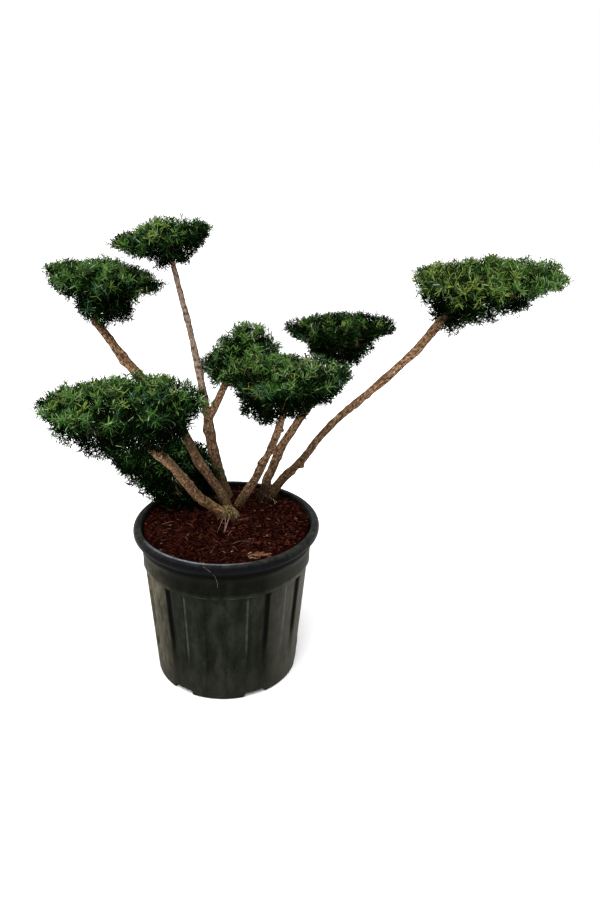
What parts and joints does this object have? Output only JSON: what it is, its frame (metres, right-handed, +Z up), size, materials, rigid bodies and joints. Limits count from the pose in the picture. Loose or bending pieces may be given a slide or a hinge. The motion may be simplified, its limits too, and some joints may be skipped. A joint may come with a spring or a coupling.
{
  "type": "potted cloud-pruned yew",
  "caption": "Cloud-pruned yew in a round fluted nursery pot: bare leaning stems that each carry one clipped mass of dark green needles.",
  "frame": {"origin": "middle of the pot's flat underside, on the ground", "axes": "+Z up, -Y towards the viewer of the picture, +X to the viewer's right, towards the long leaning stem"},
  "size_m": [1.4275, 0.8696, 1.234],
  "materials": {
    "pot": "dull black moulded plastic with a satin rim",
    "soil": "red-brown bark mulch over potting soil",
    "bark": "grey-brown to red-brown flaking bark with moss at the feet",
    "needles": "dark green flat needles, lighter at the tips"
  },
  "bodies": {
    "root": {"pot": "pot", "soil": "soil", "foot_left": "bark", "foot_right": "bark", "stem_front_left": "bark", "stem_upper_left": "bark", "stem_tall": "bark", "bough_small_round": "bark", "stem_front_right": "bark", "stem_back_right": "bark", "stem_long_right": "bark", "stem_low_left": "bark", "mass_top": "needles", "mass_upper_left": "needles", "mass_small_round": "needles", "mass_front_right": "needles", "mass_front_left": "needles", "mass_back_right": "needles", "mass_long_right": "needles", "mass_low_left": "needles"}
  },
  "joints": []
}
